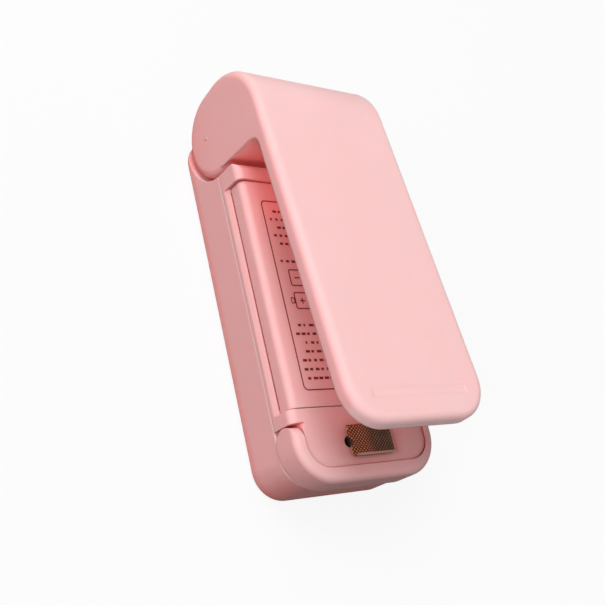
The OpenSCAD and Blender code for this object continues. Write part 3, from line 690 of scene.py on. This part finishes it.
def soften_groove(mesh, run):
    """Slopes the walls of the shallow groove in a lever's top, so that it shades softly."""
    top = max((p for p in mesh.polygons if p.normal.z > 0.9), key=lambda p: p.area)
    up, level = top.normal.copy(), top.normal.dot(top.center)
    shallow, deep = 0.05 * MM, 0.6 * MM
    floor = [p for p in mesh.polygons
             if p.normal.dot(up) > 0.9999 and shallow < level - up.dot(p.center) < deep]
    if not floor:
        raise RuntimeError("the lever has no groove")
    moved = {v for p in floor for v in p.vertices}
    aside = Vector((1, 0, 0))
    along = up.cross(aside)
    centre = sum((mesh.vertices[v].co for v in moved), Vector()) / len(moved)
    normals = [c.vector.copy() for c in mesh.corner_normals]
    for v in moved:
        place = mesh.vertices[v].co
        for axis in (aside, along):
            place -= axis * math.copysign(run, (place - centre).dot(axis))
    mesh.update()
    inner = {p.index for p in floor}
    for p in mesh.polygons:
        if p.index not in inner and moved.intersection(p.vertices):
            for k in p.loop_indices:
                normals[k] = p.normal.copy()
    mesh.normals_split_custom_set(normals)
    return mesh


class BAGSEALER_OT_shells(bpy.types.Operator):
    """Smooth copies of the moulded shells, with their plastic finish."""
    bl_idname = "bagsealer.shells"
    bl_label = "Moulded shells"

    def execute(self, context):
        bodies = {"lower_case": "case", "upper_case": "case", "battery_cover": "battery_cover",
                  "lever": "lever_arm", "safety_cover": "safety_cover"}
        for node, body in bodies.items():
            mesh = smooth_copy(node)
            if node == "lever":
                soften_groove(mesh, 0.5 * MM)
            new_piece("moulded_" + node, mesh, moulded_pink(node), body, node, slot="shell")
        return {"FINISHED"}


class BAGSEALER_OT_gate_mark(bpy.types.Operator):
    """Small moulding mark on the lever's cheek."""
    bl_idname = "bagsealer.gate_mark"
    bl_label = "Gate mark"

    def execute(self, context):
        bm = bmesh.new()
        place = Vector((corners("lever")[0].x, PIVOT.y - 0.1 * MM, PIVOT.z - 3 * MM))
        profile = in_mm((-0.3, 0), (-0.3, 0.5), (0.05, 0.5), (0.12, 0.42), (0.15, 0.25), (0.15, 0))
        lathe_into(bm, profile, place, (-1, 0, 0), 24)
        new_piece("gate_mark", mesh_of(bm, "gate_mark", 40), moulded_pink("lever"), "lever_arm", slot="shell")
        return {"FINISHED"}


class BAGSEALER_OT_panel_print(bpy.types.Operator):
    """Plain printed panel on the battery cover: a frame, rules and two cells with their signs."""
    bl_idname = "bagsealer.panel_print"
    bl_label = "Panel print"

    def execute(self, context):
        s = sizes()
        z, rise, line = DECK_Z - 0.004 * MM, s.print_rise, s.print_line
        half = 14.8 * MM
        front = COVER_LOW.y + 3.9 * MM
        back = COVER_LOW.y + 53.0 * MM
        bm = bmesh.new()
        ring_into(bm, -half, front, half, back, 1.3 * MM, line, z, rise)
        # Two cells side by side, pointing opposite ways, with their signs
        cell_l, cell_d, button, button_l = 12.5 * MM, 4.4 * MM, 1.6 * MM, 1.1 * MM
        x0 = -half + 3.4 * MM
        sign, sign_in = 0.75 * MM, 2.2 * MM
        for y0, right in ((front + 26.2 * MM, True), (front + 20.2 * MM, False)):
            mid_y = y0 + cell_d / 2
            ring_into(bm, x0, y0, x0 + cell_l, y0 + cell_d, 0.6 * MM, line, z, rise)
            tip = x0 + cell_l if right else x0 - button_l
            ring_into(bm, tip, mid_y - button / 2, tip + button_l, mid_y + button / 2, 0.25 * MM, line * 0.8,
                      z, rise)
            ends = (x0 + sign_in, x0 + cell_l - sign_in)
            minus_x, plus_x = ends if right else ends[::-1]
            for sx, strokes in ((plus_x, ((sign, line / 2), (line / 2, sign))), (minus_x, ((sign, line / 2),))):
                for hx, hy in strokes:
                    box_into(bm, (sx - hx, mid_y - hy, z), (sx + hx, mid_y + hy, z + rise))
        ink = printed_ink()
        tree = rules_tree()
        for rows, top, seed in ((5, 46.2, 4), (1, 32.7, 2), (7, 16.1, 9)):
            bm.from_mesh(grown(tree, points_data([(0, 0, 0)]), Rows=rows, Step=s.rule_step, Dashes=15,
                               Pitch=s.dash_pitch, Breadth=s.dash_breadth, Thickness=rise, Seed=seed, Material=ink,
                               Start=(-half + 1.4 * MM, front + top * MM, z)))
        new_piece("panel_print", mesh_of(bm, "panel_print"), ink, "battery_cover", slot="shell")
        return {"FINISHED"}


class BAGSEALER_OT_tape(bpy.types.Operator):
    """Coated woven tape over the heater, loose at its rear corner and lifted along its front edge."""
    bl_idname = "bagsealer.tape"
    bl_label = "Woven tape"

    def execute(self, context):
        s = sizes()
        across, down = 132, 84
        pitch = 2 * math.pi / s.weave_pitch
        (x0, y0, foot), (x1, y1, top) = TAPE_LOW, TAPE_HIGH
        thick = 0.12 * MM
        flat = top - 0.17 * MM
        # The closed press pad leaves only this much height above the flat tape
        room = 0.27 * MM

        def ramp(v, low, high):
            t = min(max((v - low) / (high - low), 0), 1)
            return t * t * (3 - 2 * t)

        def surface(u, v):
            """Height of the tape at shares u across and v from front to back."""
            bulge = (0.35 * MM * math.exp(-((v - 0.8) / 0.16) ** 2)
                     - 0.25 * MM * math.exp(-((v - 0.52) / 0.12) ** 2))
            x = x0 + (x1 - x0) * u - bulge * ramp(u, 0.3, 0)
            rear = y1 - 1.5 * MM * ramp(u, 0.42, 0.78) - 0.9 * MM * ramp(u, 0.2, 0)
            y = y0 + (rear - y0) * v
            weave = s.weave_rise * math.cos(pitch * x) * math.cos(pitch * (y - HEATER_Y))
            hump = s.tape_hump * math.exp(-((u - 0.27) / 0.2) ** 2) * ramp(v, 0.4, 1)
            lip = s.tape_lip * ramp(v, 0.12, 0.0) * (0.2 + 0.8 * ramp(u, 0.02, 0.3))
            ridge = 0.16 * MM * math.exp(-((u - 0.2 - 0.16 * (1 - v)) / 0.09) ** 2)
            edge = -0.22 * MM * (ramp(u, 0.08, 0) + 0.6 * ramp(u, 0.95, 1))
            lift = room * (1 - math.exp(-(hump + lip + ridge) / room))
            return Vector((x, y, flat + weave + lift + edge - 0.08 * MM * ramp(v, 0.9, 1) * u))

        bm = bmesh.new()
        sheets = []
        for drop in (0, thick):
            sheets.append([[bm.verts.new(surface(i / across, j / down) - Vector((0, 0, drop)))
                            for i in range(across + 1)] for j in range(down + 1)])
        for j in range(down):
            for i in range(across):
                for k, sheet in enumerate(sheets):
                    quad = [sheet[j][i], sheet[j][i + 1], sheet[j + 1][i + 1], sheet[j + 1][i]]
                    bm.faces.new(quad if k == 0 else quad[::-1])
        rim = ([(j, 0) for j in range(down, 0, -1)] + [(0, i) for i in range(across)]
               + [(j, across) for j in range(down)] + [(down, i) for i in range(across, 0, -1)])
        for (a, b), (c, d) in zip(rim, rim[1:] + rim[:1]):
            bm.faces.new((sheets[0][c][d], sheets[0][a][b], sheets[1][a][b], sheets[1][c][d]))
        # Flaps that wrap down the heater's front and back
        inset = 0.2 * MM
        for y in (y0 + 0.05 * MM, y1 - 0.25 * MM):
            box_into(bm, (x0 + inset, y, foot), (x1 - inset, y + 0.2 * MM, flat - 0.1 * MM))
        new_piece("woven_tape", mesh_of(bm, "woven_tape", 50), coated_tape(), "heater", "release_tape",
                  slot="coated_tape")
        return {"FINISHED"}


class BAGSEALER_OT_heater(bpy.types.Operator):
    """Finishes of the heater below the tape, and of the press pad that meets it."""
    bl_idname = "bagsealer.heater"
    bl_label = "Heater and press pad"

    def execute(self, context):
        dress("heater_carrier", plain_moulding("carrier_moulding", (0.024, 0.015, 0.011, 1), 0.42))
        dress("heater_plate", heat_board())
        dress("heating_ribbon", drawn_metal("ribbon_metal", (0.13, 0.105, 0.09, 1), 0.4))
        new_piece("silicone_pad", smooth_copy("press_pad"), silicone(), "lever_arm", "press_pad",
                  slot="silicone")
        return {"FINISHED"}


def smooth_path(points, steps=8):
    """Points on a smooth curve through a lead's turning points."""
    pts = [Vector(p) * MM for p in points]
    out = []
    for i in range(len(pts) - 1):
        a, b, c, d = pts[max(i - 1, 0)], pts[i], pts[i + 1], pts[min(i + 2, len(pts) - 1)]
        for k in range(steps):
            t = k / steps
            out.append(0.5 * (2 * b + (c - a) * t + (2 * a - 5 * b + 4 * c - d) * t * t
                              + (3 * b - a - 3 * c + d) * t ** 3))
    return out + [pts[-1]]


def coil(centre, along, side, r0, r1, run, turns, count):
    """Points of a coil that starts round its centre and runs along an axis."""
    along, side = Vector(along), Vector(side)
    up = along.cross(side)
    out = []
    for i in range(count + 1):
        t = i / count
        a = 2 * math.pi * turns * t
        r = r0 + (r1 - r0) * t
        out.append(Vector(centre) + along * run * t + r * (math.cos(a) * side + math.sin(a) * up))
    return out


class BAGSEALER_OT_wires(bpy.types.Operator):
    """Springs and insulated leads as smooth round wires."""
    bl_idname = "bagsealer.wires"
    bl_label = "Springs and leads"

    def execute(self, context):
        tree = wire_tree()
        sides = sizes().wire_sides
        steel = drawn_metal("spring_steel", "steel", 0.26)
        nickel = drawn_metal("plated_spring", "nickel", 0.24)
        red = insulation("red_insulation", "lead_red")
        black = insulation("black_insulation", "lead_black")

        def wire(name, paths, radius, material, body, slot):
            mesh = grown(tree, path_data(paths), Radius=radius, Sides=sides, Material=material)
            return new_piece(name, mesh, material, body, name, slot=slot)

        # Torsion spring round the hinge pin: its long leg lifts the lever's roof
        wire_r, r = 0.5 * MM, 3.6 * MM
        turns, half, lean = 6, 5 * MM, math.radians(9.8)
        ring = coil(PIVOT - Vector((half, 0, 0)), (-1, 0, 0), (0, -1, 0), r, r, -2 * half,
                    turns - lean / (2 * math.pi), turns * 24)
        tip = Vector((0, -math.sin(lean), math.cos(lean)))
        leg = (corners("lever_spring")[1].z - ring[-1].z - 0.6 * MM) / tip.z
        path = ([ring[0] + Vector((0, 0, -4 * MM)), ring[0] + Vector((0, 0, -2 * MM))] + ring
                + [ring[-1] + tip * leg * k / 6 for k in range(1, 7)])
        wire("lever_spring", [path], wire_r, steel,
             ("case", "lever_arm", tuple(PIVOT + tip * 4 * MM), tuple(path[-1])), "steel")

        # Return springs below the heater's carrier
        low, high = corners("carrier_springs")
        wire_r, coil_r = 0.2 * MM, 1.0 * MM
        run = high.z - low.z - 2 * wire_r
        paths = [coil((x, HEATER_Y, low.z + wire_r), (0, 0, 1), (1, 0, 0), coil_r, coil_r, run, 4, 80)
                 for x in (low.x + coil_r + wire_r, high.x - coil_r - wire_r)]
        wire("carrier_springs", paths, wire_r, steel,
             ("case", "heater", (0, HEATER_Y, low.z), (0, HEATER_Y, high.z)), "steel")

        # Cone springs at the cells' flat ends
        low, high = corners("contact_springs")
        wire_r = 0.35 * MM
        mid_z = (low.z + high.z) / 2
        cell_x = high.x - 4.55 * MM
        run = 4.6 * MM
        wide, narrow = 4.2 * MM, 2.6 * MM
        wire("contact_springs", [
            coil((side * cell_x, end, mid_z), (0, side, 0), (1, 0, 0), wide, narrow, run, 3.5, 70)
            for side, end in ((-1, high.y - wire_r), (1, low.y + wire_r))], wire_r, nickel, "case", "nickel")

        # Leads, on the routes of their solids
        lead_r = 0.6 * MM
        for name, points, material, body, slot in (
                ("battery_lead",
                 [(-7.55, -34.757, 13.1), (-7.4, -36.957, 12.5), (-6.2, -38.357, 9.5), (-4, -39.157, 5.9),
                  (-2.5, -40.357, 4.9), (-2.5, -42.707, 5.6)], red, "case", "red_lead"),
                ("heater_lead",
                 [(2.5, -44.407, 5.6), (2.5, -46.557, 4.9), (4.2, -48.157, 5.5), (6.4, -47.357, 8.9),
                  (6.9, -45.357, 12.9), (6.75, -44.157, 16.1)], black,
                 ("case", "heater", (6.6 * MM, HEATER_Y, 9 * MM), (6.7 * MM, HEATER_Y, 16 * MM)), "black_lead"),
                ("return_lead",
                 [(7.55, -34.757, 13.1), (7.55, -37.157, 12.5), (4, -38.357, 14.5), (-3, -38.557, 14.5),
                  (-7.2, -40.557, 15.7), (-6.75, -43.957, 16.1)], black,
                 ("case", "heater", (0, HEATER_Y, 14 * MM), (-6.7 * MM, HEATER_Y, 16 * MM)), "black_lead")):
            wire(name, [smooth_path(points)], lead_r, material, body, slot)
        return {"FINISHED"}


class BAGSEALER_OT_screws(bpy.types.Operator):
    """Case screws: one turned and slotted shape set at every screw."""
    bl_idname = "bagsealer.screws"
    bl_label = "Case screws"

    def execute(self, context):
        low, high = corners("case_screws")
        head_r, thread_r = 1.8 * MM, 1.0 * MM
        head_h = 1.3 * MM
        bm = bmesh.new()
        profile = [(0, 0), (0, 1.1 * MM), (0.07 * MM, 1.5 * MM), (0.25 * MM, head_r - 0.06 * MM),
                   (0.45 * MM, head_r), (head_h - 0.1 * MM, head_r), (head_h, head_r - 0.1 * MM),
                   (head_h, thread_r)]
        reach = high.z - low.z
        step = 0.28 * MM
        place = head_h + 0.3 * MM
        while place < reach - 1.6 * MM:
            profile += [(place, thread_r - 0.12 * MM), (place + step * 0.4, thread_r),
                        (place + step * 0.55, thread_r), (place + step * 0.95, thread_r - 0.12 * MM)]
            place += step * 1.6
        profile += [(reach - 0.5 * MM, 0.6 * MM), (reach, 0)]
        lathe_into(bm, profile, (0, 0, low.z), (0, 0, 1), 28)
        shape = bpy.data.objects.new("screw_shape", mesh_of(bm, "screw_shape", 40))
        bm = bmesh.new()
        for a, b in in_mm((1.05, 0.2), (0.2, 1.05)):
            box_into(bm, (-a, -b, low.z - 1 * MM), (a, b, low.z + 0.75 * MM))
        cross = bpy.data.objects.new("screw_cross", mesh_of(bm, "screw_cross"))
        for helper in (shape, cross):
            context.scene.collection.objects.link(helper)
        cut = shape.modifiers.new("cross", "BOOLEAN")
        cut.operation, cut.solver = "DIFFERENCE", "EXACT"
        cut.use_self = True
        cut.object = cross
        x_front, x_back = high.x - head_r - 3.55 * MM, high.x - head_r
        spots = [(side * x, y, 0) for side in (-1, 1)
                 for x, y in ((x_front, low.y + head_r), (x_back, high.y - head_r))]
        steel = drawn_metal("screw_steel", "steel", 0.3)
        mesh = grown(spots_tree(), points_data(spots), Shape=shape, Material=steel)
        for helper in (shape, cross):
            bpy.data.objects.remove(helper)
        new_piece("case_screws", mesh, steel, "case", "case_screws", slot="steel")
        return {"FINISHED"}


class BAGSEALER_OT_cells(bpy.types.Operator):
    """Two cells with their film, crimped rims and buttons."""
    bl_idname = "bagsealer.cells"
    bl_label = "Battery cells"

    def execute(self, context):
        r = (CELLS_HIGH.z - CELLS_LOW.z) / 2
        mid_z = (CELLS_HIGH.z + CELLS_LOW.z) / 2
        cell_x = CELLS_HIGH.x - r
        cell_l, button_h = 50.5 * MM, 1.1 * MM
        film, metal = bmesh.new(), bmesh.new()
        body_l = cell_l - button_h
        # Profiles in millimetres from the flat end
        rim, top, end = r / MM, body_l / MM, cell_l / MM
        skin = in_mm((0.15, rim - 1.2), (0.05, rim - 0.9), (0.12, rim - 0.35), (0.5, rim), (top - 0.6, rim),
                     (top - 0.15, rim - 0.3), (top, rim - 0.8), (top - 0.1, rim - 1.5), (top - 0.3, rim - 1.5),
                     (0.4, rim - 1.2), (0.15, rim - 1.2))
        foot = in_mm((0.02, 0), (0.02, rim - 1.6), (0.12, rim - 1.25), (0.6, rim - 1.25), (0.6, 0))
        button = in_mm((top - 0.9, 0), (top - 0.9, rim - 1.55), (top - 0.25, rim - 1.55), (top - 0.15, 3.2),
                       (top + 0.1, 2.8), (end - 0.25, 2.7), (end - 0.05, 2.5), (end, 2.2), (end, 0))
        for x, flat_y, way in ((-cell_x, CELLS_LOW.y + cell_l, -1), (cell_x, CELLS_HIGH.y - cell_l, 1)):
            for bm, profile in ((film, skin), (metal, foot), (metal, button)):
                lathe_into(bm, profile, (x, flat_y, mid_z), (0, way, 0))
        new_piece("cell_films", mesh_of(film, "cell_films", 35), cell_film(), "case", "battery_cells", slot="cell")
        new_piece("cell_ends", mesh_of(metal, "cell_ends", 35), drawn_metal("cell_can", "nickel", 0.22), "case",
                  slot="nickel")
        return {"FINISHED"}


class BAGSEALER_OT_metalwork(bpy.types.Operator):
    """Finishes of the pin, contacts and switch."""
    bl_idname = "bagsealer.metalwork"
    bl_label = "Pin, contacts and switch"

    def execute(self, context):
        dress("hinge_pin", drawn_metal("pin_steel", "steel", 0.2))
        for node in ("series_link", "positive_contact", "negative_contact"):
            dress(node, drawn_metal("plated_contact", "nickel", 0.28))
        dress("switch_terminals", drawn_metal("tinned_brass", (0.62, 0.44, 0.18, 1), 0.3))
        dress("switch_body", plain_moulding("switch_moulding", (0.016, 0.016, 0.018, 1), 0.4))
        dress("switch_plunger", plain_moulding("plunger_moulding", (0.42, 0.02, 0.015, 1), 0.32))
        return {"FINISHED"}


class BAGSEALER_OT_stage(bpy.types.Operator):
    """Floor, lamps, world and camera."""
    bl_idname = "bagsealer.stage"
    bl_label = "Stage"

    def execute(self, context):
        scene = context.scene
        scene.view_settings.view_transform = "Standard"
        mesh = bpy.data.meshes.new("floor")
        reach = 3.0
        mesh.from_pydata([(a * reach, b * reach, 0) for a, b in ((-1, -1), (1, -1), (1, 1), (-1, 1))], [],
                         [(0, 1, 2, 3)])
        mesh.materials.append(self.floor_finish())
        floor = bpy.data.objects.new("floor", mesh)
        floor.location.z = -0.15 * MM
        scene.collection.objects.link(floor)
        self.world(scene)
        middle, white = (0, 0, 0.02), (1, 1, 1)
        # Place, target, size, power, colour, and the body that the lamp moves with
        lamps = {
            "key": ((-0.30, 0.42, 0.82), middle, (0.6, 0.6), 7.0, white, None),
            "left": ((-0.82, -0.02, 0.42), middle, (0.45, 0.45), 3.9, white, None),
            "right": ((0.86, -0.05, 0.20), middle, (0.6, 0.6), 2.6, white, None),
            "front": ((-0.20, -0.88, 0.35), middle, (0.6, 0.6), 0.85, white, None),
            "lever_fill": ((-0.15, -0.62, 0.34), (0, -0.05, 0.04), (0.3, 0.3), 0.95, white, None),
            # Light that falls through the arm on to what lies below it
            "through_arm": ((0, -0.039, 0.0364), (0, -0.0416, 0.0064), (0.026, 0.038), 0.0006, (1, 0.11, 0.09),
                            "lever_arm"),
            "through_hub": ((0, 0.011, 0.0265), (0, 0.030, 0.0315), (0.026, 0.006), 0.0009, (1, 0.06, 0.045),
                            "lever_arm")}
        holders = {name: self.hang(scene, name, *lamp) for name, lamp in lamps.items()}
        # Only the raised lever stands in its fill light; the nose lies in its shade
        lit = bpy.data.collections.new("lever_fill")
        lit.objects.link(bpy.data.objects["moulded_lever"])
        holders["lever_fill"].light_linking.receiver_collection = lit
        camera = bpy.data.cameras.new("camera")
        camera.sensor_fit = "HORIZONTAL"
        camera.sensor_width = 36.0
        camera.lens = 54.705
        camera.clip_start = 0.01
        eye = bpy.data.objects.new("camera", camera)
        eye.location = (-0.138672, -0.081894, 0.181033)
        eye.rotation_euler = [math.radians(turn) for turn in (28.53234, -33.30825, -15.32388)]
        scene.collection.objects.link(eye)
        scene.camera = eye
        return {"FINISHED"}

    @staticmethod
    def hang(scene, name, place, target, size, power, tone, body):
        """Hangs a lamp that points at a target, and moves with a body if one is named."""
        lamp = bpy.data.lights.new(name, "AREA")
        lamp.shape = "RECTANGLE"
        lamp.size, lamp.size_y = size
        lamp.energy, lamp.color = power, tone
        holder = bpy.data.objects.new(name, lamp)
        holder.location = place
        holder.rotation_euler = (Vector(target) - Vector(place)).to_track_quat("-Z", "Y").to_euler()
        holder.visible_camera = holder.visible_glossy = False
        scene.collection.objects.link(holder)
        if body:
            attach(holder, body)
        return holder

    @staticmethod
    def seen(tree, sheen):
        """A value of 1 for what the camera and glass see, less for a sheen, and 0 for light that bounces."""
        rays = tree.nodes.new("ShaderNodeLightPath").outputs
        total = rays["Is Camera Ray"]
        for ray, share in (("Is Glossy Ray", sheen), ("Is Transmission Ray", 1.0)):
            part = add_node(tree, "ShaderNodeMath", {0: rays[ray], 1: share}, operation="MULTIPLY")
            total = add_node(tree, "ShaderNodeMath", {0: total, 1: part}, operation="MAXIMUM")
        return total

    def floor_finish(self):
        """White for the eye, with a soft shadow, and grey for the light that bounces off it."""
        material = bpy.data.materials.new("floor_white")
        material.use_nodes = True
        tree = material.node_tree
        tree.nodes.clear()
        add = partial(add_node, tree)
        grey, pale, white = ((tone, tone, tone, 1) for tone in (0.10, 0.80, 1.0))
        seen = self.seen(tree, 0.2)
        tone = add("ShaderNodeMix", {0: seen, 6: grey, 7: pale}, 2, data_type="RGBA")
        paint = add("ShaderNodeBsdfDiffuse", {"Color": tone})
        glow = add("ShaderNodeEmission", {"Color": white})
        share = add("ShaderNodeMath", {0: seen, 1: 0.9}, operation="MULTIPLY")
        above = add("ShaderNodeMixShader", {"Fac": share, 1: paint, 2: glow})
        # From below the floor is clear, so that the underside can be seen
        behind = add("ShaderNodeNewGeometry", output="Backfacing")
        clear = add("ShaderNodeBsdfTransparent")
        both = add("ShaderNodeMixShader", {"Fac": behind, 1: above, 2: clear})
        add("ShaderNodeOutputMaterial", {"Surface": both})
        return material

    def world(self, scene):
        """A faint warm room light, behind a background that is seen as white."""
        world = bpy.data.worlds.new("studio")
        world.use_nodes = True
        tree = world.node_tree
        tree.nodes.clear()
        room, white = (add_node(tree, "ShaderNodeBackground", {"Color": tone, "Strength": strength})
                       for tone, strength in (((1, 0.9, 0.88, 1), 0.09), ((1, 1, 1, 1), 1.0)))
        mix = add_node(tree, "ShaderNodeMixShader", {"Fac": self.seen(tree, 0.6), 1: room, 2: white})
        add_node(tree, "ShaderNodeOutputWorld", {"Surface": mix})
        scene.world = world


PIECE_OPERATORS = (
    BAGSEALER_OT_shells, BAGSEALER_OT_gate_mark, BAGSEALER_OT_panel_print, BAGSEALER_OT_tape, BAGSEALER_OT_heater,
    BAGSEALER_OT_wires, BAGSEALER_OT_screws, BAGSEALER_OT_cells, BAGSEALER_OT_metalwork, BAGSEALER_OT_stage)


class BAGSEALER_PT_sidebar(bpy.types.Panel):
    """Lists the pieces with their sizes and colours."""
    bl_idname = "BAGSEALER_PT_sidebar"
    bl_label = "Bag Sealer"
    bl_space_type = "VIEW_3D"
    bl_region_type = "UI"
    bl_category = "Bag Sealer"

    def draw(self, context):
        column = self.layout.column()
        for operator in PIECE_OPERATORS:
            column.operator(operator.bl_idname)
        for group in (context.scene.sealer_sizes, context.scene.sealer_colours):
            for name in group.bl_rna.properties.keys():
                if name not in ("rna_type", "name"):
                    column.prop(group, name)


CLASSES = (SealerSizes, SealerColours) + PIECE_OPERATORS + (BAGSEALER_PT_sidebar,)


def register():
    for cls in CLASSES:
        bpy.utils.register_class(cls)
    bpy.types.Scene.sealer_sizes = PointerProperty(type=SealerSizes)
    bpy.types.Scene.sealer_colours = PointerProperty(type=SealerColours)


def unregister():
    del bpy.types.Scene.sealer_colours
    del bpy.types.Scene.sealer_sizes
    for cls in reversed(CLASSES):
        bpy.utils.unregister_class(cls)


def main():
    register()
    for operator in PIECE_OPERATORS:
        group, name = operator.bl_idname.split(".")
        getattr(getattr(bpy.ops, group), name)()


if __name__ == "__main__":
    main()
